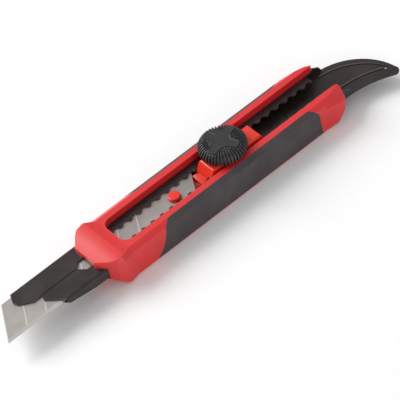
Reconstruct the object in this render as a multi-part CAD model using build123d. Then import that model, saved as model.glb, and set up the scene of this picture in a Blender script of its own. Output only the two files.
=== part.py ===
"""Snap-off utility knife with a screw-lock wheel, a steel blade channel and a hooked steel tail.

X runs forward to the blade's tip, +Y is the side of the cutting edge, +Z is up, and the origin is the
middle of the flat back face that the knife lies on. Sizes are in millimetres.
"""
from build123d import *
import math
import os

os.makedirs("parts", exist_ok=True)

# ---------------------------------------------------------------- driving sizes
# body: a moulded frame with a flared nose, two rails and two rear prongs
body_length = 130.5
body_side = 4.0              # body outside the blade's edges, on each side
body_depth = 15.4
chamfer_width = 2.3          # across the top face's edge
chamfer_drop = 1.6
back_chamfer = 0.8
corner_round = 0.5           # along the moulding's long edges
window_width = 15.6
window_corner = 4.2
nose_length = 14.5           # from the mouth back to where the plain bar starts
nose_flare = 1.5             # how far each cheek stands out past the bar
nose_rise = 0.9              # how far the crown stands above the rails
mouth_width = 13.4
rear_flare = 1.1             # how far each prong stands out past the bar
flare_length = 13.5          # from the prong ends forward to where the plain bar starts
lip = 0.9                    # plastic under the channel at the mouth
shelf_drop = 3.6             # from the top face down to the shelf round each prong's end
prong_length = 8.5           # prongs past the rear wall of the hollow
prong_round = 3.5            # the prongs' outer corners, in plan
prong_inner_round = 1.6      # and their inner ones
prong_sweep = 10.7           # how far the prongs' lower rear corner is swept forward
prong_sweep_height = 12.0
deck = 1.6                   # floor of the frame under the channel
grip_thickness = 1.3
grip_front_low = 25.0        # from the mouth to the front of the grip, along its lower edge
grip_front_knee = 32.0       # the same where its side meets its chamfer
grip_front_top = 35.5        # the same along its upper edge
grip_rear = 15.0             # from the rear end of the grips to the prong ends
grip_corner = 5.0

# blade: a standard wide snap-off blade
blade_length = 100.0
blade_width = 18.0
blade_thickness = 0.5
segment_pitch = 10.0
segments = 8
snap_angle = 60.0            # between the score lines and the cutting edge
bevel = 1.6
score_width = 0.3
score_depth = 0.12
pin_to_tip = 94.3            # from the blade's hole to its tip, along the edge

# channel: one folded steel sheet
sheet = 0.8
channel_depth = 5.65
bend_radius = 1.2
blade_side_gap = 0.5
scallop_pitch = 5.0
scallop_depth = 1.4
scallop_start = 1.3          # first tip behind the window's front
slot_width = 7.6             # between the scallop tips of the two flanges
middle = 0.4                 # how far slot, slider and wheel lie to the cutting side
flap_slit = 0.5              # between the two flaps in front of the body
flap_far = 34.0              # how far the flap on the spine side runs out of the mouth
flap_near = 24.5             # the same on the cutting side
flap_slant = 6.5
ramp_start = -1.5            # the floor rises from here, measured out of the mouth
ramp_end = 20.0
flange_rear = 4.2            # from the end of the flanges to the prong ends
wall_reach = 5.2             # side walls past the prong ends
wall_fall = 2.9              # how far their upper edges fall on the way
tail_reach = 27.2            # tail past the prong ends
tail_swing = 14.8            # how far the tail's tip lies to the cutting side
tail_root = 3.0              # how far the tail's sheet laps the channel's floor
tail_hole = 1.2
hole_ahead = 3.6             # from the tail's end forward to its hole
hole_inward = 4.4            # from the tail's tip back to the hole, across the knife
bead_width = 0.8             # the two beads pressed up along the tail
bead_height = 0.35

# slider, clamp and wheel
wheel_x = -9.25              # the wheel's axis, as the knife is shown
pin_ahead = 28.2             # from the wheel's axis forward to the blade pin
pin_diameter = 5.4
pin_side = 0.9               # how far the pin lies to the cutting side
pin_rise = 1.6               # above the blade
block_width = 7.0
block_front = 12.8           # from the wheel's axis to the foot of the block's front face
block_rear = 17.2
block_front_rake = 2.6
block_rear_rake = 1.6
block_round = 1.1            # along the block's upper edges
block_ledge = 2.1            # how far its upper part overhangs the flange on the cutting side
tongue_ahead = 4.8           # tongue past the pin
tongue_thickness = 1.3
relief_depth = 1.8           # trough across the tongue behind the blade's end
step_length = 2.7            # tongue between the block's foot and the trough
plate_length = 14.0
plate_thickness = 1.2
release = 0.6                # how far the clamp plate drops when the wheel is turned back
bolt_diameter = 5.0
bolt_head = 8.0              # across the flats
bolt_head_height = 2.0
wheel_diameter = 20.8
wheel_height = 5.2
wheel_shoulder = 2.4         # height of the upright part of the rim
wheel_crown = 7.6            # radius of the flat top
wheel_ribs = 44
rib_depth = 0.6
insert_diameter = 7.0
cap_arms = 4
cap_reach = 8.2              # from the axis to the ends of the cap's arms
cap_height = 1.0
washer_diameter = 10.5
spring_thickness = 0.35
spring_length = 9.0
spring_height = 0.6

# fasteners
screw_diameter = 3.0
screw_head = 5.4
screw_head_height = 1.3
screw_recess = 0.1           # heads below the back face
screw_length = 4.2
boss_diameter = 6.0
rivet_diameter = 3.0
rivet_head = 4.6
rivet_head_height = 0.7

# clearances
play = 0.1                   # a loose sliding or lying fit, on each side
blade_play = 0.15
running_fit = 0.05           # radial, between a shaft and its bore
wheel_gap = 1.3              # wheel above the rails
block_rise = 0.4             # block above the rails
washer_play = 0.02           # above and below the washer
block_lift = 0.25            # the block's overhang above the flange
grip_of_flange = 0.1         # plate under the flanges when the wheel is tight

# ---------------------------------------------------------------- places that follow
front = body_length / 2
rear = -front
body_width = blade_width + 2 * body_side
half = body_width / 2
top_half = half - chamfer_width
knee_height = body_depth - chamfer_drop
channel_half = blade_width / 2 + blade_side_gap + sheet
channel_inner = channel_half - sheet
rail_bottom = body_depth - 3.35
channel_top = rail_bottom - play
channel_bottom = channel_top - channel_depth
floor_top = channel_bottom + sheet
flange_under = channel_top - sheet
blade_top = flange_under - blade_play
blade_bottom = blade_top - blade_thickness
pocket_half = channel_half + play
pocket_bottom = channel_bottom - play
hollow_top = pocket_bottom - deck
cover_thickness = 1.6
nose_rear = front - nose_length
window_front = nose_rear - 0.7
deck_rear = rear + prong_length
hollow_front = nose_rear - 3.0
hollow_rear = deck_rear + 2.2
hollow_half = pocket_half - 0.8
cover_front = hollow_front + 1.0
cover_rear = hollow_rear - 1.0
cover_half = hollow_half + 0.8
pin_x = wheel_x + pin_ahead
tip_x = pin_x + pin_to_tip
blade_run = blade_width / math.tan(math.radians(snap_angle))
blade_rear = tip_x - blade_length - blade_run
carriage_top = flange_under - 0.2
carriage_bottom = floor_top + 0.2
carriage_half = channel_inner - 0.3
block_top = body_depth + block_rise
tongue_top = blade_bottom - play
plate_top = flange_under - grip_of_flange
plate_bottom = plate_top - plate_thickness
tunnel_floor = plate_bottom - release - 0.2
wheel_bottom = body_depth + wheel_gap
wheel_top = wheel_bottom + wheel_height
cap_floor = wheel_top - 0.7
spring_low = flange_under + 0.12
insert_top = cap_floor - play
screw_places = [(x, y) for x in (hollow_rear + 4.5, hollow_front - 4.5) for y in (-5.5, 5.5)]
rivet_xs = (rear + 20.0, wheel_x + 15.0, window_front - 12.0)
hole_x = rear - tail_reach + hole_ahead
hole_y = tail_swing - hole_inward


# ---------------------------------------------------------------- helpers
def box(x0, x1, y0, y1, z0, z1):
    """A block between two corners."""
    centre = ((x0 + x1) / 2, (y0 + y1) / 2, (z0 + z1) / 2)
    return Pos(*centre) * Box(x1 - x0, y1 - y0, z1 - z0)


def post(x, y, z0, z1, diameter):
    """An upright round bar."""
    return Pos(x, y, z0) * Cylinder(diameter / 2, z1 - z0, align=(Align.CENTER, Align.CENTER, Align.MIN))


def plan_prism(outline, z0, z1):
    """A closed outline in X and Y, carried up from z0 to z1."""
    face = make_face(outline)
    return Pos(0, 0, z0) * extrude(face, z1 - z0, dir=(0, 0, 1))


def side_prism(points, y0, y1):
    """A polygon of (x, z) points, carried along Y from y0 to y1."""
    face = make_face(Polyline(*[(x, y0, z) for x, z in points], close=True))
    return extrude(face, y1 - y0, dir=(0, 1, 0))


def bar(points, x0, x1):
    """A polygon of (y, z) points, carried along X from x0 to x1."""
    face = make_face(Polyline(*[(x0, y, z) for y, z in points], close=True))
    return extrude(face, x1 - x0, dir=(1, 0, 0))


def rounded_section(x, points):
    """A half outline of (y, z) points with its mirror image, as one face with rounded corners."""
    loop = points + [(-y, z) for y, z in reversed(points)]
    return make_face(FilletPolyline(*[(x, y, z) for y, z in loop], radius=corner_round, close=True))


def save(node, part):
    """Write one node's solids to its STEP file."""
    part.label = node
    export_step(part, f"parts/{node}.step")


# ---------------------------------------------------------------- body
def bar_section():
    """Right half of the bar's outline, from the back face round to the top face."""
    return [(half - back_chamfer, 0), (half, back_chamfer), (half, knee_height), (top_half, body_depth)]


def nose():
    """Ruled faces through six outlines, from the narrow mouth over the flare to the plain bar."""
    cheek = half + nose_flare
    crown = body_depth + nose_rise
    mouth_half = mouth_width / 2
    stations = [
        (front, [(mouth_half - 1.2, pocket_bottom - lip), (mouth_half, pocket_bottom),
                 (mouth_half, body_depth - 1.5), (mouth_half - 0.7, body_depth - 0.5)]),
        (front - 4.0, [(pocket_half - 0.9, pocket_bottom - 2.0), (pocket_half + 1.0, pocket_bottom - 0.8),
                       (pocket_half + 1.2, body_depth - 2.0), (pocket_half + 0.6, body_depth + 0.1)]),
        (front - 6.0, [(cheek - 3.2, pocket_bottom - 3.6), (cheek - 1.5, pocket_bottom - 2.2),
                       (cheek - 1.0, body_depth - 1.9), (cheek - 1.9, crown - 0.4)]),
        (front - 9.2, [(cheek - 1.6, 0.3), (cheek, 1.7), (cheek, body_depth - 1.5),
                       (cheek - 1.4, crown - 0.1)]),
        (front - 10.4, [(cheek - 1.6, 0), (cheek - 0.1, 1.3), (cheek - 0.1, body_depth - 1.5),
                        (cheek - 1.5, crown)]),
        (nose_rear, bar_section()),
    ]
    return loft([rounded_section(x, points) for x, points in stations], ruled=True)


def rear_end():
    """The bar drawn in to the prong ends, inside a lower skirt that flares out and leaves a shelf."""
    wide = half + rear_flare
    shelf = body_depth - shelf_drop
    core = [
        (rear + flare_length, bar_section()),
        (rear + 0.5 * flare_length, [(half - 2.0, 2.0), (half - 0.3, 4.0), (half - 0.3, knee_height - 0.6),
                                     (top_half - 0.1, body_depth)]),
        (rear + 0.2 * flare_length, [(half - 3.0, 2.5), (half - 1.2, 4.5), (half - 1.2, knee_height - 1.5),
                                     (top_half - 1.1, body_depth - 0.1)]),
        (rear, [(half - 4.0, 3.0), (half - 2.0, 5.0), (half - 2.0, knee_height - 2.0),
                (top_half - 2.3, body_depth - 0.4)]),
    ]
    skirt = [
        (rear + flare_length, [(half - back_chamfer - 0.1, 0), (half - 0.1, back_chamfer),
                               (half - 0.1, knee_height - 1.2), (half - 1.4, knee_height - 0.2)]),
        (rear + 0.5 * flare_length, [(wide - 1.6, 0), (wide, 1.6), (wide, shelf - 0.2),
                                     (wide - 1.6, shelf + 1.0)]),
        (rear + 0.2 * flare_length, [(wide - 1.8, 0), (wide - 0.1, 1.8), (wide - 0.1, shelf - 0.8),
                                     (wide - 1.9, shelf + 0.5)]),
        (rear, [(half - 2.0, 0), (half - 0.4, 1.8), (half - 0.4, shelf - 1.6),
                (half - 2.2, shelf - 0.2)]),
    ]
    return (loft([rounded_section(x, points) for x, points in core], ruled=True)
            + loft([rounded_section(x, points) for x, points in skirt], ruled=True))


def grip_outline():
    """Side view of a grip: a swept front edge and a rear end with one rounded corner."""
    x_low = front - grip_front_low
    x_knee = front - grip_front_knee
    x_rear = rear + grip_rear
    bow = (0.35 * x_low + 0.65 * x_knee, 0, 0.42 * knee_height)
    shoulder = body_depth - grip_corner
    inset = grip_corner * (1 - math.sqrt(0.5))
    low_front = (x_low, 0, back_chamfer)
    knee = (x_knee, 0, knee_height)
    top_front = (front - grip_front_top, 0, body_depth)
    top_rear = (x_rear + grip_corner, 0, body_depth)
    return [
        Line(top_front, knee),
        ThreePointArc(knee, bow, low_front),
        Line(low_front, (x_rear, 0, back_chamfer)),
        Line((x_rear, 0, back_chamfer), (x_rear, 0, shoulder)),
        ThreePointArc((x_rear, 0, shoulder), (x_rear + inset, 0, body_depth - inset), top_rear),
        Line(top_rear, top_front),
    ]


def grip(side):
    """A rubber skin over one side and its chamfer; side is +1 on the cutting side."""
    slope = math.atan2(chamfer_drop, chamfer_width)
    inward = (-math.sin(slope) * grip_thickness, -math.cos(slope) * grip_thickness)
    turn = grip_thickness * math.tan((math.pi / 2 - slope) / 2)
    section = [(half, back_chamfer), (half, knee_height), (top_half, body_depth),
               (top_half + inward[0], body_depth + inward[1]),
               (half - grip_thickness, knee_height - turn), (half - grip_thickness, back_chamfer)]
    skin = bar([(side * y, z) for y, z in section], rear, front)
    shape = make_face(grip_outline())
    return skin & extrude(shape, side * (half + 1), dir=(0, 1, 0))


def prong_limits():
    """Bounds the rear end so that the prongs end rounded in plan and swept up at their lower corners."""
    plan = Rectangle(body_length + 40, body_width + 2 * rear_flare, align=(Align.MIN, Align.CENTER))
    plan = fillet(plan.vertices().group_by(Axis.X)[0], prong_round)
    upright = Pos(rear, 0, -1) * extrude(plan, body_depth + 10)
    start = (rear + prong_sweep, -half, 0)
    end = (rear, -half, prong_sweep_height)
    bow = (rear + 0.39 * prong_sweep, -half, 0.36 * prong_sweep_height)
    top = body_depth + 10
    side = make_face([ThreePointArc(start, bow, end), Polyline(
        end, (rear, -half, top), (front, -half, top), (front, -half, 0), start)])
    return upright & Pos(0, -half, 0) * extrude(side, 4 * half, dir=(0, 1, 0))


def prong_inner_corners():
    """What the prongs' inner corners lose to their rounding, beside the window and beside the channel."""
    r = prong_inner_round
    cut = []
    for side in (-1, 1):
        for inner, low, high in ((window_width / 2, rail_bottom, body_depth + 1),
                                 (pocket_half, -1, rail_bottom)):
            y0, y1 = sorted((side * inner, side * (inner + r)))
            cut.append(box(rear - 1, rear + r, y0, y1, low, high)
                       - post(rear + r, side * (inner + r), low - 1, high + 1, 2 * r))
    return cut


def window_cut():
    """The long opening between the rails, round-cornered in front and open at the rear."""
    plan = Rectangle(window_front - rear + 20, window_width, align=(Align.MAX, Align.CENTER))
    plan = fillet(plan.vertices().group_by(Axis.X)[-1], window_corner)
    return Pos(window_front, 0, rail_bottom - 1) * extrude(plan, body_depth)


def body_frame(grips):
    """The moulded frame: nose, rails, deck, prongs and screw bosses."""
    middle = extrude(rounded_section(nose_rear, bar_section()), body_length - nose_length - flare_length,
                     dir=(-1, 0, 0))
    frame = middle + nose() + (rear_end() & prong_limits())
    frame -= box(rear - 1, front + 1, -pocket_half, pocket_half, pocket_bottom, rail_bottom)
    frame -= window_cut()
    pin_room = pin_diameter / 2 + 0.6
    frame -= box(window_front - 1, front + 1, pin_side - pin_room, pin_side + pin_room,
                 rail_bottom - 1, blade_top + pin_rise + 0.4)
    frame -= box(rear - 1, deck_rear, -pocket_half, pocket_half, -1, pocket_bottom + 1)
    for corner in prong_inner_corners():
        frame -= corner
    frame -= box(hollow_rear, hollow_front, -hollow_half, hollow_half, cover_thickness, hollow_top)
    frame -= box(cover_rear, cover_front, -cover_half, cover_half, -1, cover_thickness + play)
    for x, y in screw_places:
        frame += post(x, y, cover_thickness + play, hollow_top, boss_diameter)
        frame -= post(x, y, 0, screw_recess + screw_length + play, screw_diameter + 2 * running_fit)
    for x in rivet_xs:
        frame -= post(x, 0, hollow_top - 1, pocket_bottom + 1, rivet_diameter + 2 * running_fit)
    for skin in grips:
        frame -= skin
    return frame


def countersunk(x, y, z, depth, grow=0.0):
    """A flat-headed screw, head down at z, or its hole where grow is a clearance."""
    head = Pos(x, y, z + screw_head_height / 2) * Cone(
        screw_head / 2 + grow, screw_diameter / 2 + grow, screw_head_height)
    return head + post(x, y, z, z + depth, screw_diameter + 2 * grow)


def back_cover():
    """The plate that closes the hollow behind the channel."""
    plate = box(cover_rear + play, cover_front - play, -cover_half + play, cover_half - play,
                0, cover_thickness)
    for x, y in screw_places:
        plate -= countersunk(x, y, screw_recess, cover_thickness + 1, running_fit)
        plate -= post(x, y, -1, screw_recess, screw_head + 2 * running_fit)
    return plate


def cover_screws():
    """Four countersunk screws with cross recesses."""
    screws = []
    for x, y in screw_places:
        screw = countersunk(x, y, screw_recess, screw_length)
        for w, d in ((2.8, 0.6), (0.6, 2.8)):
            screw -= box(x - w / 2, x + w / 2, y - d / 2, y + d / 2, 0, 0.8)
        screws.append(screw)
    return Compound(children=screws)


# ---------------------------------------------------------------- blade channel and tail
def channel_profile(inset):
    """Side view of the channel's outside (inset 0) or of its hollow (inset of one sheet)."""
    bottom = channel_bottom + inset
    raised = blade_bottom - blade_play - sheet + inset
    far_end = front + flap_far + 5
    top = channel_top - inset
    return [(rear - 40, bottom), (front + ramp_start, bottom), (front + ramp_end, raised),
            (far_end, raised), (far_end, top), (rear - 40, top)]


def scallop_wave(side, x_front, count):
    """One flange's edge: arcs by turns round a tip and round a hollow, each half a pitch long."""
    mean = slot_width / 2 + scallop_depth / 2
    arcs = []
    for k in range(2 * count):
        x0 = x_front - k * scallop_pitch / 2
        reach = mean + (scallop_depth / 2 if k % 2 else -scallop_depth / 2)
        arcs.append(ThreePointArc((x0, middle + side * mean), (x0 - scallop_pitch / 4, middle + side * reach),
                                  (x0 - scallop_pitch / 2, middle + side * mean)))
    return arcs


def scalloped_slot():
    """The gap between the flanges: scallops beside the window, room for the pin, then a slit."""
    x_front = window_front - scallop_start + scallop_pitch / 4
    count = math.ceil((x_front - rear + 5) / scallop_pitch)
    x_rear = x_front - count * scallop_pitch
    mean = slot_width / 2 + scallop_depth / 2
    near = scallop_wave(1, x_front, count)
    far = scallop_wave(-1, x_front, count)
    ends = [Line((x, middle + mean), (x, middle - mean)) for x in (x_front, x_rear)]
    slot = plan_prism(near + far + ends, blade_top, channel_top + 1)
    pin_near = pin_side + pin_diameter / 2 + 0.3
    pin_far = pin_side - pin_diameter / 2 - 0.6
    slit_near = middle + flap_slit / 2
    slit_far = middle - flap_slit / 2
    slot += box(x_front - 1, front + 2.6, pin_far, pin_near, blade_top, channel_top + 1)
    throat = Polyline((front + 2.6, pin_far), (front + 5.4, slit_far), (front + 5.4, slit_near),
                      (front + 2.6, pin_near), close=True)
    slot += plan_prism(throat, blade_top, channel_top + 1)
    slot += box(front + 5, front + flap_far + 6, slit_far, slit_near, blade_top, channel_top + 1)
    return slot


def flap_trim():
    """What is cut off the channel's front end, in plan, to leave one long and one short flap."""
    wide = channel_half + 1
    tip = front + flap_far
    far_edge = Polyline((tip - 2.6, -wide), (tip, -channel_half * 0.55), (tip - 0.8, -channel_half * 0.33),
                        (tip - flap_slant, middle), (tip + 10, middle), (tip + 10, -wide), close=True)
    near = front + flap_near
    near_edge = Polyline((near - 0.8, middle), (near, 2.6), (near - flap_slant, channel_half - 0.8),
                         (near - flap_slant - 2.2, wide), (near + 30, wide), (near + 30, middle), close=True)
    return plan_prism(far_edge, 0, body_depth) + plan_prism(near_edge, 0, body_depth)


def tail():
    """The floor sheet runs on as a hook: two arcs that close on a rounded tip."""
    root_x = rear + tail_root
    end_x = rear - tail_reach
    shoulder = channel_half + 0.6
    outer = ThreePointArc((rear - 4, -shoulder + 0.9), (rear - 0.6 * tail_reach, -shoulder * 0.47),
                          (end_x + 0.4, tail_swing - 1.8))
    inner = ThreePointArc((end_x + 3.2, tail_swing + 1.6), (rear - 0.52 * tail_reach, shoulder + 1.2),
                          (rear - 2, shoulder - 0.7))
    tip = ThreePointArc(outer @ 1, (end_x + 0.9, tail_swing + 1.1), inner @ 0)
    root_near = Line(inner @ 1, (root_x, channel_half))
    root = Line((root_x, channel_half), (root_x, -channel_half))
    root_far = Line((root_x, -channel_half), outer @ 0)
    hook = plan_prism([outer, tip, inner, root_near, root, root_far], channel_bottom, floor_top)
    return hook - post(hole_x, hole_y, channel_bottom - 1, floor_top + 1, tail_hole)


def bead(start, through, end):
    """A raised line between two arcs, half a bead's width to each side of the one through three points."""
    arcs = []
    for side in (-bead_width / 2, bead_width / 2):
        arcs.append(ThreePointArc(*[(x, y + side) for x, y in (start, through, end)]))
    ends = [Line(arcs[0] @ t, arcs[1] @ t) for t in (0, 1)]
    return plan_prism(arcs + ends, floor_top - 0.3, floor_top + bead_height)


def tail_beads():
    """Two beads that close on the tail's hole: one along its outer edge and one through its middle."""
    outer = bead((rear - 1.8, -7.1), (rear - 16.2, -1.3), (hole_x - 0.5, hole_y - 1.4))
    inner = bead((rear - 2.4, 4.4), (rear - 13.6, 6.0), (hole_x + 1.0, hole_y - 0.5))
    return outer + inner


def blade_channel():
    """A folded sheet: floor, two walls and two flanges, with the tail at its rear."""
    outside = side_prism(channel_profile(0), -channel_half, channel_half)
    long_edges = outside.edges().filter_by(Axis.X).group_by(Axis.Z)
    outside = fillet(long_edges[-1] + long_edges[0], bend_radius)
    hollow = side_prism(channel_profile(sheet), -channel_inner, channel_inner)
    sheet_body = outside - hollow - scalloped_slot() - flap_trim()
    wall_end = rear - wall_reach
    slope_start = rear + 0.6
    sheet_body -= side_prism([(slope_start, channel_top + 1), (slope_start, channel_top),
                              (wall_end + 0.8, channel_top - wall_fall), (wall_end, floor_top),
                              (rear - 60, floor_top), (rear - 60, channel_top + 1)], -half, half)
    sheet_body -= box(rear - 60, rear + flange_rear, -channel_inner, channel_inner,
                      floor_top + 1, channel_top + 1)
    sheet_body -= box(rear - 60, wall_end, -half, half, 0, body_depth)
    sheet_body += tail() + tail_beads()
    for x in rivet_xs:
        sheet_body -= post(x, 0, channel_bottom - 1, floor_top + 1, rivet_diameter + 2 * running_fit)
        sheet_body -= post(x, 0, floor_top - rivet_head_height, floor_top + 1, rivet_head + 2 * running_fit)
    return sheet_body


def channel_rivets():
    """Flush-headed rivets that hold the channel's floor to the frame's deck."""
    rivets = []
    for x in rivet_xs:
        shank = post(x, 0, hollow_top - 0.8, floor_top, rivet_diameter)
        head = post(x, 0, floor_top - rivet_head_height + play, floor_top, rivet_head)
        foot = post(x, 0, hollow_top - 0.8, hollow_top - play / 2, rivet_head)
        rivets.append(shank + head + foot)
    return Compound(children=rivets)


# ---------------------------------------------------------------- blade
def blade():
    """A parallelogram with a ground edge, score lines and one hole."""
    edge_y = blade_width / 2
    outline = Polyline((tip_x, edge_y), (tip_x - blade_run, -edge_y), (blade_rear, -edge_y),
                       (tip_x - blade_length, edge_y), close=True)
    body = plan_prism(outline, blade_bottom, blade_top)
    middle = (blade_top + blade_bottom) / 2
    for z, sign in ((blade_top, 1), (blade_bottom, -1)):
        wedge = [(edge_y - bevel, z), (edge_y + 0.1, middle + sign * 0.03), (edge_y + 0.1, z + sign * 0.5),
                 (edge_y - bevel, z + sign * 0.5)]
        body -= bar(wedge, blade_rear - 1, tip_x + 1)
    for k in range(1, segments):
        groove = Rot(0, 0, snap_angle) * Box(blade_width * 1.5, score_width, 2 * score_depth)
        body -= Pos(tip_x - k * segment_pitch - blade_run / 2, 0, blade_top) * groove
    return body - post(pin_x, pin_side, blade_bottom - 1, blade_top + 1, pin_diameter + 0.3)


# ---------------------------------------------------------------- slider
def slider():
    """The moulding that carries the blade: carriage, tongue, pin and the block between the flanges."""
    foot = wheel_x + block_front
    heel = wheel_x - block_rear
    far_side = middle - block_width / 2
    near_side = middle + block_width / 2
    base = box(heel, blade_rear - 0.5, -carriage_half, carriage_half, carriage_bottom, carriage_top)
    root = blade_rear + blade_run
    tongue = box(foot - 1, pin_x + tongue_ahead, far_side, near_side, tongue_top - tongue_thickness,
                 tongue_top)
    tongue += box(foot - 1, root, far_side, near_side, carriage_bottom, tongue_top)
    tongue -= box(foot + step_length, root - 2, far_side - 1, near_side + 1,
                  tongue_top - relief_depth, tongue_top + 1)
    pin = post(pin_x, pin_side, tongue_top, blade_top + pin_rise, pin_diameter)
    pin = fillet(pin.edges().group_by(Axis.Z)[-1], 0.6)
    block = side_prism([(heel, carriage_top - 1), (foot, carriage_top - 1), (foot, carriage_top + 0.4),
                        (foot - block_front_rake, block_top), (heel + block_rear_rake, block_top),
                        (heel, carriage_top + 0.4)], far_side, near_side + block_ledge)
    block -= box(heel - 1, foot + 1, near_side, near_side + block_ledge + 1,
                 carriage_top - 2, channel_top + block_lift)
    block = fillet(block.edges().group_by(Axis.Z)[-1], block_round)
    whole = base + tongue + pin + block
    tunnel = plate_length / 2 + 0.15
    whole -= box(wheel_x - tunnel, wheel_x + tunnel, -carriage_half - 1, carriage_half + 1,
                 tunnel_floor, flange_under + 0.05)
    head_room = Pos(wheel_x, middle, carriage_bottom - 1) * extrude(
        RegularPolygon(bolt_head / 2 + 0.15, 6, major_radius=False), tunnel_floor - carriage_bottom + 2)
    whole -= head_room
    whole -= post(wheel_x, middle, tunnel_floor, block_top + 1, bolt_diameter + 0.3)
    spring_x = wheel_x - plate_length / 2 - 1.0 - spring_length
    whole -= box(spring_x - 0.2, spring_x + spring_length + 0.2, near_side - 1.3, near_side + 1,
                 spring_low - 0.05, spring_low + spring_height + 0.05)
    return whole


def detent_spring():
    """A bowed leaf in the block's side, whose crown rests just clear of the scallop tips."""
    x1 = wheel_x - plate_length / 2 - 1.0
    x0 = x1 - spring_length
    seat = middle + block_width / 2 - 1.2
    crown = middle + block_width / 2 + 0.1
    half_way = (x0 + x1) / 2
    inner = ThreePointArc((x0, seat), (half_way, crown - spring_thickness), (x1, seat))
    outer = ThreePointArc((x1, seat + spring_thickness), (half_way, crown), (x0, seat + spring_thickness))
    ends = [Line(inner @ 1, outer @ 0), Line(outer @ 1, inner @ 0)]
    return plan_prism([inner, outer] + ends, spring_low, spring_low + spring_height)


def clamp_plate():
    """The steel plate that the bolt pulls up under both flanges."""
    length = plate_length / 2
    plate = box(wheel_x - length, wheel_x + length, -carriage_half + 0.2, carriage_half - 0.2,
                plate_bottom, plate_top)
    return plate - post(wheel_x, middle, plate_bottom - 1, plate_top + 1, bolt_diameter + 0.02)


def clamp_bolt():
    """A hexagon-headed bolt, upright through plate, block and wheel."""
    head = Pos(wheel_x, middle, plate_bottom - bolt_head_height) * extrude(
        RegularPolygon(bolt_head / 2, 6, major_radius=False), bolt_head_height)
    return head + post(wheel_x, middle, plate_bottom - 1, insert_top - 0.2, bolt_diameter)


def wheel_washer():
    """A flat steel washer between the block and the wheel."""
    low = block_top + washer_play
    high = wheel_bottom - washer_play
    return post(wheel_x, middle, low, high, washer_diameter) - post(
        wheel_x, middle, low - 1, high + 1, bolt_diameter + 0.3)


# ---------------------------------------------------------------- wheel
def ribbed_outline(radius, depth, ribs):
    """A circle whose radius swings between the rib tops and the grooves, with flat tops and floors."""
    points = []
    step = 2 * math.pi / ribs
    for k in range(ribs):
        for share, r in ((0.0, radius), (0.45, radius), (0.6, radius - depth), (0.85, radius - depth)):
            angle = (k + share) * step
            points.append((r * math.cos(angle), r * math.sin(angle)))
    return Polyline(*points, close=True)


def cap_shape(grow):
    """Plan of the cap: a round middle with rounded arms."""
    shape = Circle(4.6 + grow)
    arm_width = 4.4
    spread = cap_reach - arm_width / 2
    for k in range(cap_arms):
        arm = SlotCenterToCenter(spread, arm_width + 2 * grow)
        shape += Rot(0, 0, 20 + k * 360 / cap_arms) * Pos(spread / 2, 0) * arm
    return shape


def lock_wheel():
    """A ribbed wheel with rounded shoulders, a bore for its nut and a seat for its cap."""
    radius = wheel_diameter / 2
    ribbed = Pos(wheel_x, middle, wheel_bottom) * extrude(
        make_face(ribbed_outline(radius, rib_depth, wheel_ribs)), wheel_height)
    shoulder = wheel_bottom + wheel_shoulder
    profile = Polyline((0, wheel_bottom), (radius - 0.5, wheel_bottom), (radius, wheel_bottom + 0.5),
                       (radius, shoulder), (radius - 0.8, shoulder + 1.6), (wheel_crown, wheel_top),
                       (0, wheel_top), close=True)
    turned = Pos(wheel_x, middle, 0) * revolve(make_face(Plane.XZ * profile), Axis.Z)
    wheel = ribbed & turned
    wheel -= Pos(wheel_x, middle, cap_floor) * extrude(cap_shape(0.06), wheel_height)
    return wheel - post(wheel_x, middle, wheel_bottom - 1, cap_floor + 1, insert_diameter)


def wheel_insert():
    """The threaded brass nut moulded into the wheel."""
    nut = post(wheel_x, middle, wheel_bottom, insert_top, insert_diameter)
    return nut - post(wheel_x, middle, wheel_bottom - 1, insert_top + 1, bolt_diameter + 2 * running_fit)


def wheel_cap():
    """The armed cap pressed into the wheel's top."""
    cap = Pos(wheel_x, middle, cap_floor) * extrude(cap_shape(0), cap_height)
    return chamfer(cap.faces().sort_by(Axis.Z)[-1].edges(), 0.25)


grips = [grip(-1), grip(1)]
save("grip_left", grips[0])
save("grip_right", grips[1])
save("body_frame", body_frame(grips))
save("back_cover", back_cover())
save("cover_screws", cover_screws())
save("blade_channel", blade_channel())
save("channel_rivets", channel_rivets())
save("blade", blade())
save("slider", slider())
save("detent_spring", detent_spring())
save("clamp_plate", clamp_plate())
save("clamp_bolt", clamp_bolt())
save("wheel_washer", wheel_washer())
save("lock_wheel", lock_wheel())
save("wheel_insert", wheel_insert())
save("wheel_cap", wheel_cap())
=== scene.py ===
"""The looks of a snap-off utility knife: moulded red body, coated steel channel, ribbed lock wheel.

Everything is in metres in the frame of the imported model: X runs to the blade's tip, +Y is the side of
the cutting edge and +Z is up. The knife lies on its flat back face.
"""
import math

import bmesh
import bpy
import numpy as np
from mathutils import Matrix, Vector


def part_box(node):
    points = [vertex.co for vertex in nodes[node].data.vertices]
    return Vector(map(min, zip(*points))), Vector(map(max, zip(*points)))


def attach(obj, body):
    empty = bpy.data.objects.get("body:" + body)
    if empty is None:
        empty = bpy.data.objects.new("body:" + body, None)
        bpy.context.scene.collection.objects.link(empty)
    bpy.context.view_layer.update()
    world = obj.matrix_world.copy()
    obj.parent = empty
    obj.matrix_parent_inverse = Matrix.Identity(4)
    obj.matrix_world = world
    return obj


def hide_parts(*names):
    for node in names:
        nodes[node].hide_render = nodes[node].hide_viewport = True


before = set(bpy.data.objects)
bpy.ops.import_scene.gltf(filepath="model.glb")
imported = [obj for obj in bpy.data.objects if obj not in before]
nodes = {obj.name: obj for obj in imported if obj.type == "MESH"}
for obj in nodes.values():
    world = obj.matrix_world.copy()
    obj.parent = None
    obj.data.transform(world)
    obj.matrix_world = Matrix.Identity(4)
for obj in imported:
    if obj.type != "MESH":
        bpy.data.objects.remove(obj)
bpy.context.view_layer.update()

MM = 0.001

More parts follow.
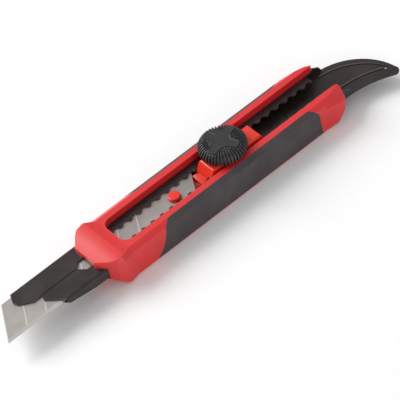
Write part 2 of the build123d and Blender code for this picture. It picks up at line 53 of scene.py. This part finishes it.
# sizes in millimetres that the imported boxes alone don't give
blade_bevel = 1.6            # width of the ground edge
score_pitch = 10.0
score_slant = 60.0           # degrees between the score lines and the cutting edge
sheet = 0.8                  # thickness of the channel's steel
bead_rise = 0.35             # the tail's beads above its sheet
wheel_ribs = 44
rib_depth = 0.8
wheel_crown = 7.2            # radius of the wheel's flat top
rim_height = 2.4             # upright part of the wheel's rim
cap_arms = 4
cap_turn = 20.0              # degrees from +X to the first arm
cap_length = 8.2             # from the wheel's axis to the ends of the arms
insert_bore = 3.52           # radius of the bore for the brass nut


# ---------------------------------------------------------------- shader maths
class Signal:
    """One output in a finish's node tree: + - * and / on it add Math nodes."""

    def __init__(self, tree, socket=None):
        self.tree = tree
        self.socket = socket

    def node(self, kind, settings=None, inputs=None, output=0):
        """Add a node: its settings first, then the values or the links of its sockets."""
        made = self.tree.nodes.new(kind)
        for name, value in (settings or {}).items():
            setattr(made, name, value)
        for key, value in (inputs or {}).items():
            if isinstance(value, Signal):
                self.tree.links.new(value.socket, made.inputs[key])
            else:
                made.inputs[key].default_value = value
        return Signal(self.tree, made.outputs[output])

    def maths(self, operation, *values):
        return self.node("ShaderNodeMath", {"operation": operation}, dict(enumerate(values)))

    def __add__(self, other):
        return self.maths("ADD", self, other)

    def __sub__(self, other):
        return self.maths("SUBTRACT", self, other)

    def __rsub__(self, other):
        return self.maths("SUBTRACT", other, self)

    def __mul__(self, other):
        return self.maths("MULTIPLY", self, other)

    def __truediv__(self, other):
        return self.maths("DIVIDE", self, other)

    __radd__ = __add__
    __rmul__ = __mul__

    def stretched(self, scale, location=(0, 0, 0)):
        """These coordinates scaled and moved."""
        return self.node("ShaderNodeMapping", None,
                         {"Vector": self, "Scale": scale, "Location": location})

    def noise(self, size, detail=2.0, roughness=0.5):
        """Cloudy variation from 0 to 1, with blotches of this size in metres."""
        return self.node("ShaderNodeTexNoise", None,
                         {"Vector": self, "Scale": 1 / size, "Detail": detail, "Roughness": roughness})

    def cells(self, size):
        """Distance from the nearest of many scattered points, for pebbles of this size in metres."""
        return self.node("ShaderNodeTexVoronoi", None,
                         {"Vector": self, "Scale": 1 / size}, output="Distance")

    def part(self, axis):
        """The X, Y or Z of these coordinates."""
        return self.node("ShaderNodeSeparateXYZ", None, {"Vector": self}, output=axis)

    def step(self, low, high):
        """0 below low and 1 above high, with a smooth way between."""
        return self.node("ShaderNodeMapRange", {"interpolation_type": "SMOOTHSTEP"},
                         {"Value": self, "From Min": low, "From Max": high})

    def between(self, first, second):
        """The first colour where this is 0 and the second where it is 1."""
        return self.node("ShaderNodeMix", {"data_type": "RGBA"},
                         {"Factor": self, 6: first, 7: second}, output=2)

    def relief(self, depth, strength=1.0, under=None):
        """This height, 0 to 1, as a bump of that many metres."""
        inputs = {"Height": self, "Distance": depth, "Strength": strength}
        if under is not None:
            inputs["Normal"] = under
        return self.node("ShaderNodeBump", None, inputs)


def finish(name, fixed):
    """A new material with fixed values on its shader; returns the material, shader and coordinates."""
    material = bpy.data.materials.new(name)
    material.use_nodes = True
    tree = material.node_tree
    shader = tree.nodes["Principled BSDF"]
    for socket, value in fixed.items():
        shader.inputs[socket].default_value = value
    return material, shader, Signal(tree).node("ShaderNodeTexCoord", output="Object")


def feed(shader, **signals):
    """Link what varies into the shader: colour, roughness, metallic, coat or normal."""
    sockets = {"colour": "Base Color", "roughness": "Roughness", "metallic": "Metallic",
               "coat": "Coat Weight", "normal": "Normal"}
    for word, signal in signals.items():
        signal.tree.links.new(signal.socket, shader.inputs[sockets[word]])


def colour(red, green, blue):
    return (red, green, blue, 1.0)


# ---------------------------------------------------------------- finishes
def moulded_red(name, deep, bright, shine):
    """Gloss moulding: slow drift between two reds, a spark-eroded grain and faint rubbing marks."""
    material, shader, place = finish(name, {"IOR": 1.5, "Coat Roughness": 0.22, "Specular IOR Level": 0.42})
    drift = place.noise(14 * MM, 3.0)
    grain = place.noise(0.22 * MM, 2.0)
    rubs = place.stretched((0.12, 1, 1)).noise(0.6 * MM, 3.0).step(0.58, 0.7)
    base = (drift * 0.75 + grain * 0.25).between(deep, bright)
    feed(shader, colour=base, roughness=shine + grain * 0.08 + rubs * 0.06,
         coat=0.24 - rubs * 0.1,
         normal=(grain * 0.7 + place.noise(1.6 * MM) * 0.3).relief(0.012 * MM, 0.55))
    return material


def grip_rubber():
    """Charcoal rubber: a pebbled skin, paler on its pebble tops, with worn glossier patches."""
    material, shader, place = finish("grip_rubber", {"IOR": 1.48, "Specular IOR Level": 0.38})
    pebbles = place.cells(0.42 * MM).step(0.05, 0.6)
    wear = place.noise(9 * MM, 4.0).step(0.35, 0.75)
    dust = place.noise(0.12 * MM, 1.0)
    tone = pebbles * 0.35 + wear * 0.4 + dust * 0.25
    feed(shader, colour=tone.between(colour(0.041, 0.034, 0.037), colour(0.076, 0.064, 0.068)),
         roughness=0.66 - wear * 0.12 + dust * 0.06,
         normal=(1 - pebbles).relief(0.02 * MM, 0.5, dust.relief(0.006 * MM, 0.4)))
    return material


def coated_steel():
    """Brown-black coat over sheet steel: orange peel, draw lines along the sheet, cut edges paler as bare
    steel and a painted highlight, and a painted highlight on the beads' crests.
    """
    material, shader, place = finish("coated_steel", {"IOR": 1.5, "Specular IOR Level": 0.36})
    bare_and_sheen = place.node("ShaderNodeAttribute", {"attribute_name": "bare_and_sheen"}, output="Fac")
    peel = place.noise(0.5 * MM, 2.0)
    draw = place.stretched((0.04, 1, 1)).noise(0.35 * MM, 3.0)
    patina = place.noise(11 * MM, 4.0).step(0.3, 0.75)
    coat = (patina * 0.6 + draw * 0.4).between(colour(0.019, 0.0135, 0.0135), colour(0.036, 0.027, 0.026))
    edge = draw.between(colour(0.12, 0.105, 0.1), colour(0.26, 0.235, 0.22))
    # cut edges: bare steel plus a painted highlight; bead crests: a painted highlight only
    bare_and_sheen_share = bare_and_sheen * (0.55 + peel * 0.45)
    feed(shader, colour=bare_and_sheen_share.between(coat, edge), metallic=bare_and_sheen_share * 0.75,
         roughness=0.25 + draw * 0.09 + patina * 0.07,
         normal=(peel * 0.6 + draw * 0.4).relief(0.012 * MM, 0.5))
    return material


def blade_steel():
    """Ground blade: lengthwise polishing lines, crosswise ones on the bevel, a faint oil film."""
    material, shader, place = finish("blade_steel", {"IOR": 2.5, "Specular IOR Level": 0.5})
    low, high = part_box("blade")
    bevel_line = high[1] - blade_bevel * MM
    bevel = place.part("Y").step(bevel_line - 0.05 * MM, bevel_line + 0.05 * MM)
    along = place.stretched((0.02, 1, 1)).noise(0.16 * MM, 3.0)
    across = place.stretched((1, 0.05, 1)).noise(0.12 * MM, 3.0)
    film = place.noise(7 * MM, 3.0).step(0.3, 0.7)
    lines = along * (1 - bevel) + across * bevel
    slope = math.tan(math.radians(score_slant))
    start = high[0] - (high[1] - low[1]) / slope / 2
    past_tip = place.part("X") - place.part("Y") / slope - start
    off_score = past_tip.maths("PINGPONG", past_tip, score_pitch / 2 * MM)
    scored = (1 - off_score.step(0.16 * MM, 0.3 * MM)) * place.part("X").step(30 * MM, 31 * MM)
    flat = (film * 0.55 + along * 0.45).between(colour(0.30, 0.274, 0.256), colour(0.42, 0.388, 0.366))
    flat = (scored * 0.8).between(flat, colour(0.72, 0.70, 0.68))
    ground = across.between(colour(0.5, 0.48, 0.46), colour(0.68, 0.66, 0.64))
    feed(shader, colour=bevel.between(flat, ground), metallic=0.82 + film * 0.1,
         roughness=0.42 - bevel * 0.12 + lines * 0.1,
         normal=lines.relief(0.003 * MM, 0.5))
    return material


def black_moulding(name):
    """Black moulding with a fine matt grain; the ribs, marked 'crest', are more polished and painted paler
    as a highlight, with painted shade left in the grooves.
    """
    material, shader, place = finish(name, {"IOR": 1.5, "Specular IOR Level": 0.5})
    grain = place.noise(0.18 * MM, 3.0)
    cloud = place.noise(3.5 * MM, 3.0)
    crest_highlight = place.node("ShaderNodeAttribute", {"attribute_name": "crest"}, output="Fac")
    # the paler colour on the rib crests is a painted highlight; the grooves keep the darker colour as
    # painted shade
    tone = cloud * 0.3 + grain * 0.2 + crest_highlight * 0.5
    feed(shader, colour=tone.between(colour(0.010, 0.009, 0.009), colour(0.050, 0.045, 0.046)),
         roughness=0.42 - crest_highlight * 0.14 + grain * 0.1, normal=grain.relief(0.014 * MM, 0.55))
    return material


def plain_metal(name, dark, light, rough, centre=None):
    """Turned or pressed metal: fine rings round a centre, or lines along its length, and tarnish."""
    material, shader, place = finish(name, {"IOR": 2.2, "Specular IOR Level": 0.5})
    tarnish = place.noise(2.5 * MM, 4.0).step(0.3, 0.75)
    if centre is None:
        lines = place.stretched((0.06, 1, 1)).noise(0.14 * MM, 2.0)
    else:
        rings = place.stretched((1, 1, 1), (-centre[0], -centre[1], 0))
        lines = rings.node("ShaderNodeTexWave", {"wave_type": "RINGS", "rings_direction": "Z"},
                           {"Vector": rings, "Scale": 900.0, "Distortion": 0.6}, output="Fac")
    feed(shader, colour=(tarnish * 0.6 + lines * 0.4).between(dark, light),
         metallic=0.88 + lines * 0.1, roughness=rough + tarnish * 0.12 + lines * 0.04,
         normal=lines.relief(0.004 * MM, 0.5))
    return material


def matt_floor():
    """Pale sweep of seamless paper, with a barely seen tooth."""
    material, shader, place = finish("paper_sweep", {"Specular IOR Level": 0.2})
    tooth = place.noise(3 * MM, 2.0)
    feed(shader, colour=tooth.between(colour(0.9, 0.9, 0.9), colour(0.93, 0.93, 0.93)),
         roughness=0.85 + tooth * 0.1)
    return material


# ---------------------------------------------------------------- mesh work
def new_piece(name, mesh, material, body, slot_name, *stands_for):
    """Put a finished mesh into the scene, riding on its body in place of its CAD nodes."""
    piece = bpy.data.objects.new(name, mesh)
    bpy.context.scene.collection.objects.link(piece)
    mesh.materials.clear()
    mesh.materials.append(material)
    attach(piece, body)
    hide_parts(*stands_for)
    return piece


def ring_skin(name, rings, capped):
    """Quads between a stack of closed rings of points.

    rings is an array (ring, place round, xyz). Capped, the first and last rings close on a pole at
    their mean; otherwise the last ring joins the first, as on a tube bent round on itself.
    """
    count, around = rings.shape[:2]
    corner = np.arange(count * around).reshape(count, around)
    if not capped:
        corner = np.vstack([corner, corner[:1]])
    beside = np.roll(corner, -1, axis=1)
    quads = np.stack([corner[:-1], beside[:-1], beside[1:], corner[1:]], axis=-1).reshape(-1, 4)
    points = rings.reshape(-1, 3)
    faces = quads.tolist()
    if capped:
        poles = np.array([rings[0].mean(axis=0), rings[-1].mean(axis=0)])
        first = np.full(around, len(points))
        points = np.vstack([points, poles])
        faces += np.stack([first, beside[0], corner[0]], axis=-1).tolist()
        faces += np.stack([first + 1, corner[-1], beside[-1]], axis=-1).tolist()
    mesh = bpy.data.meshes.new(name)
    mesh.from_pydata(points.tolist(), [], faces)
    mesh.shade_smooth()
    mesh.set_sharp_from_angle(angle=math.radians(38))
    return mesh


def softened(node, name, material, body, slot_name, width, angle=26.0):
    """A CAD node's mesh with its triangles joined and its sharp edges rounded by a narrow bevel."""
    mesh = nodes[node].data.copy()
    shape = bmesh.new()
    shape.from_mesh(mesh)
    bmesh.ops.remove_doubles(shape, verts=shape.verts, dist=0.002 * MM)
    bmesh.ops.dissolve_limit(shape, angle_limit=math.radians(0.6), verts=shape.verts, edges=shape.edges)
    shape.to_mesh(mesh)
    shape.free()
    mesh.name = name
    mesh.shade_smooth()
    mesh.set_sharp_from_angle(angle=math.radians(angle))
    piece = new_piece(name, mesh, material, body, slot_name, node)
    rounding = piece.modifiers.new("rounding", "BEVEL")
    rounding.width = width
    rounding.segments = 2
    rounding.limit_method = "ANGLE"
    rounding.angle_limit = math.radians(angle)
    rounding.harden_normals = True
    rounding.use_clamp_overlap = True
    return piece


def dress(node, material):
    """Give a CAD node that stays as it is its finish."""
    for place in nodes[node].material_slots:
        place.material = material


def mark_bare_and_sheen(piece, low, high, crest):
    """Write the sheet's pale mask on its faces: 1 on cut edges between two heights, as bare steel with a
    painted highlight, less on the beads' crests as a painted highlight.
    """
    mesh = piece.data
    normals = np.empty(len(mesh.polygons) * 3)
    centres = np.empty(len(mesh.polygons) * 3)
    mesh.polygons.foreach_get("normal", normals)
    mesh.polygons.foreach_get("center", centres)
    tilt = normals.reshape(-1, 3)[:, 2]
    height = centres.reshape(-1, 3)[:, 2]
    cut = (np.abs(tilt) < 0.2) & (height > low) & (height < high)
    # the beads' crests get a painted highlight: paler lines where the light catches them
    crest_highlight = (tilt > 0.9) & (np.abs(height - crest) < 0.03 * MM)
    bare_and_sheen = mesh.attributes.new("bare_and_sheen", "FLOAT", "FACE")
    bare_and_sheen.data.foreach_set("value", np.where(cut, 1.0, np.where(crest_highlight, 0.45, 0.0)))


# ---------------------------------------------------------------- lock wheel
def cap_reach(turn, arms, first, hub, reach, half_width):
    """Outline of the cap in polar form: the larger of a hub circle and straight-sided, round-ended arms.

    An arm's side lies at half_width over the sine of the angle off its middle line, and its end at
    reach; both are joined by soft minimum and soft maximum, which are power means.
    """
    step = 2 * np.pi / arms
    off = np.abs((turn - first + step / 2) % step - step / 2)
    side = half_width / np.maximum(np.sin(off), 1e-4)
    arm = (side ** -8.0 + reach ** -8.0) ** (-1 / 8)
    return (arm ** 14.0 + hub ** 14.0) ** (1 / 14)


def wheel_measures():
    """The wheel's axis, radius and heights in millimetres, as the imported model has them."""
    low, high = (np.array(corner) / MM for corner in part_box("lock_wheel"))
    cap_low, cap_high = (np.array(corner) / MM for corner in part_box("wheel_cap"))
    axis = (low[:2] + high[:2]) / 2
    return {"axis": axis, "radius": (high[0] - low[0]) / 2, "bottom": low[2], "top": high[2],
            "seat": cap_low[2], "cap_top": cap_high[2], "reach": cap_length, "bore": insert_bore}


def round_to_metres(measures, radius, height, turn):
    """Points at a radius and height for each turn about the wheel's axis, in metres."""
    x = measures["axis"][0] + radius * np.cos(turn)
    y = measures["axis"][1] + radius * np.sin(turn)
    return np.stack([x, y, height + 0 * x], axis=-1) * MM


def wheel_mesh(measures, ribs, groove, crown):
    """The ribbed wheel as one skin round a closed profile.

    The outer profile falls from the cap's seat over a shoulder that is a superellipse quarter of
    exponent 1.65, down an upright side and a chamfer to the underside. Grooves sink it along its own
    normal by the groove depth times one less a rounded wave of the angle, and fade out beside the cap.
    """
    turn = np.linspace(0, 2 * np.pi, ribs * 12, endpoint=False)[None, :]
    outline = cap_reach(turn, cap_arms, math.radians(cap_turn), 4.7, measures["reach"], 2.2)
    radius, top = measures["radius"], measures["top"]
    shoulder = measures["bottom"] + rim_height
    lip = outline + 0.2
    share = np.linspace(0, 1, 18)[:, None]
    r_top = lip + (radius - lip) * np.sin(share * np.pi / 2)
    fall = np.clip((r_top - crown) / (radius - crown), 0, 1)
    z_top = shoulder + (top - shoulder) * (1 - fall ** 1.65) ** (1 / 1.65)
    down = np.linspace(0, 1, 6)[1:, None]
    r_side = radius + 0 * down + 0 * turn
    z_side = shoulder + (measures["bottom"] + 0.5 - shoulder) * down + 0 * turn
    r = np.vstack([r_top, r_side, r_side[:1] - 0.5])
    z = np.vstack([z_top, z_side, z_side[:1] * 0 + measures["bottom"]])
    along_r, along_z = np.gradient(r, axis=0), np.gradient(z, axis=0)
    length = np.hypot(along_r, along_z) + 1e-9
    wave = np.clip(0.42 + 0.9 * np.cos(ribs * turn), 0, 1)
    wave = wave * wave * (3 - 2 * wave)
    clear = np.clip((r - lip - 0.15) / 1.3, 0, 1)
    sink = groove * (1 - wave) * clear * clear * (3 - 2 * clear)
    r = r + along_z / length * sink
    z = z - along_r / length * sink
    height = measures["bottom"] + 0 * turn
    flat = 0 * turn
    rings = [(measures["bore"] + flat, height), (measures["bore"] + flat, measures["seat"] + flat),
             (outline + 0.05, measures["seat"] + flat), (outline + 0.05, z[0] - 0.12)]
    radii = np.vstack([ring[0] for ring in rings] + [r, flat + 8.8])
    heights = np.vstack([ring[1] for ring in rings] + [z, height])
    points = round_to_metres(measures, radii, heights, turn)[::-1]
    mesh = ring_skin("lock_wheel_ribbed", points, False)
    # 'crest' marks the rib tops, where the wheel's finish paints a highlight, and is 0 in the grooves,
    # which are painted darker as shade
    crest = np.vstack([flat, flat, flat, flat, wave * clear, flat])[::-1]
    mesh.attributes.new("crest", "FLOAT", "POINT").data.foreach_set("value", crest.ravel())
    return mesh


def cap_mesh(measures):
    """The armed cap: its outline carried up, turned over a quarter-round edge, with a shallow dish.

    Inside the edge the top sinks by the dish's depth times a smooth step of how far in from the
    outline it is.
    """
    turn = np.linspace(0, 2 * np.pi, 360, endpoint=False)[None, :]
    outline = cap_reach(turn, cap_arms, math.radians(cap_turn), 4.6, measures["reach"], 2.14)
    low, high = measures["seat"], measures["cap_top"]
    edge = 0.3
    dish = 0.16
    bend = np.linspace(0, np.pi / 2, 6)[:, None]
    inward = np.linspace(0, 1, 12)[1:-1, None]
    radii = [outline * 0.5, outline - 0.08, outline, outline - edge * (1 - np.cos(bend)),
             (outline - edge) * (1 - inward)]
    depth = np.clip(((outline - edge) * inward - 0.3) / 0.5, 0, 1)
    heights = [low + 0 * turn, low + 0 * turn, low + 0.08 + 0 * turn,
               high - edge + edge * np.sin(bend) + 0 * turn, high - dish * depth * depth * (3 - 2 * depth)]
    rings = round_to_metres(measures, np.vstack(radii), np.vstack(heights), turn)
    return ring_skin("wheel_cap_armed", rings, True)


# ---------------------------------------------------------------- camera and light
def aim(distance, azimuth, elevation, roll, target):
    """A view matrix from an azimuth and elevation round the target, rolled about the view line."""
    back = Vector((math.sin(azimuth) * math.cos(elevation), -math.cos(azimuth) * math.cos(elevation),
                   math.sin(elevation)))
    right = Vector((math.cos(azimuth), math.sin(azimuth), 0))
    up = back.cross(right)
    across = right * math.cos(roll) + up * math.sin(roll)
    matrix = Matrix((across, back.cross(across), back)).transposed().to_4x4()
    matrix.translation = target + back * distance
    return matrix


def set_camera():
    camera = bpy.data.cameras.new("camera")
    camera.lens = 315
    camera.sensor_width = 36
    camera.clip_start = 0.1
    camera.clip_end = 20
    holder = bpy.data.objects.new("camera", camera)
    bpy.context.scene.collection.objects.link(holder)
    holder.matrix_world = aim(1.416, math.radians(150.1), math.radians(46.52), math.radians(-14.6),
                              Vector((0.0129, 0.00997, 0.011)))
    bpy.context.scene.camera = holder


def soft_box(name, place, power, size):
    """A square area light at a place, facing the knife."""
    light = bpy.data.lights.new(name, "AREA")
    light.energy = power
    light.size = size
    holder = bpy.data.objects.new(name, light)
    bpy.context.scene.collection.objects.link(holder)
    holder.location = place
    holder.rotation_euler = (-Vector(place)).to_track_quat("-Z", "Y").to_euler()


def set_studio():
    """A pale sweep, a large key box on the spine side, a weak fill opposite and an even white room."""
    floor = bpy.data.meshes.new("paper_sweep")
    floor.from_pydata([(-3, -3, 0), (3, -3, 0), (3, 3, 0), (-3, 3, 0)], [], [(0, 1, 2, 3)])
    sweep = bpy.data.objects.new("paper_sweep", floor)
    bpy.context.scene.collection.objects.link(sweep)
    floor.materials.append(matt_floor())
    soft_box("key", (0.5, -0.95, 0.95), 19, 1.0)
    soft_box("fill", (0.2, 1.3, 0.4), 3.5, 0.8)
    world = bpy.data.worlds.new("room")
    bpy.context.scene.world = world
    world.use_nodes = True
    world.node_tree.nodes["Background"].inputs["Color"].default_value = colour(1, 1, 1)
    world.node_tree.nodes["Background"].inputs["Strength"].default_value = 0.56
    bpy.context.scene.view_settings.view_transform = "Standard"


# ---------------------------------------------------------------- put together
body_red = moulded_red("body_red", colour(0.60, 0.016, 0.018), colour(0.72, 0.028, 0.031), 0.40)
slider_red = moulded_red("slider_red", colour(0.70, 0.024, 0.010), colour(0.84, 0.042, 0.017), 0.30)
rubber = grip_rubber()
coated = coated_steel()
wheel_black = black_moulding("wheel_black")
wheel = wheel_measures()
axis = wheel["axis"] * MM

softened("body_frame", "body_frame_soft", body_red, "handle", "body_red", 0.3 * MM, 14)
softened("slider", "slider_soft", slider_red, "slider", "slider_red", 0.3 * MM)
softened("grip_left", "grip_left_soft", rubber, "handle", "grip_rubber", 0.25 * MM)
softened("grip_right", "grip_right_soft", rubber, "handle", "grip_rubber", 0.25 * MM)
channel = softened("blade_channel", "blade_channel_soft", coated, "handle", "channel_steel", 0.1 * MM)
channel_low, channel_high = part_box("blade_channel")
mark_bare_and_sheen(channel, channel_high[2] - sheet * MM, channel_high[2],
                channel_low[2] + (sheet + bead_rise) * MM)

new_piece("lock_wheel_ribbed", wheel_mesh(wheel, wheel_ribs, rib_depth, wheel_crown), wheel_black,
          "wheel", "wheel_black", "lock_wheel")
new_piece("wheel_cap_armed", cap_mesh(wheel), black_moulding("cap_black"), "wheel", "cap_black",
          "wheel_cap")

dress("back_cover", moulded_red("cover_red", colour(0.58, 0.016, 0.018), colour(0.70, 0.028, 0.030), 0.42))
dress("blade", blade_steel())
dress("channel_rivets",
      plain_metal("rivet_steel", colour(0.03, 0.026, 0.026), colour(0.07, 0.062, 0.06), 0.38))
dress("cover_screws", plain_metal("screw_steel", colour(0.42, 0.42, 0.42), colour(0.62, 0.62, 0.61), 0.26))
steel = plain_metal("bolt_steel", colour(0.42, 0.42, 0.42), colour(0.64, 0.64, 0.63), 0.26, axis)
dress("clamp_bolt", steel)
dress("clamp_plate", steel)
dress("wheel_washer", steel)
dress("detent_spring", plain_metal("spring_steel", colour(0.30, 0.29, 0.28), colour(0.5, 0.48, 0.45), 0.22))
dress("wheel_insert",
      plain_metal("insert_brass", colour(0.58, 0.40, 0.14), colour(0.80, 0.60, 0.26), 0.24, axis))

set_camera()
set_studio()
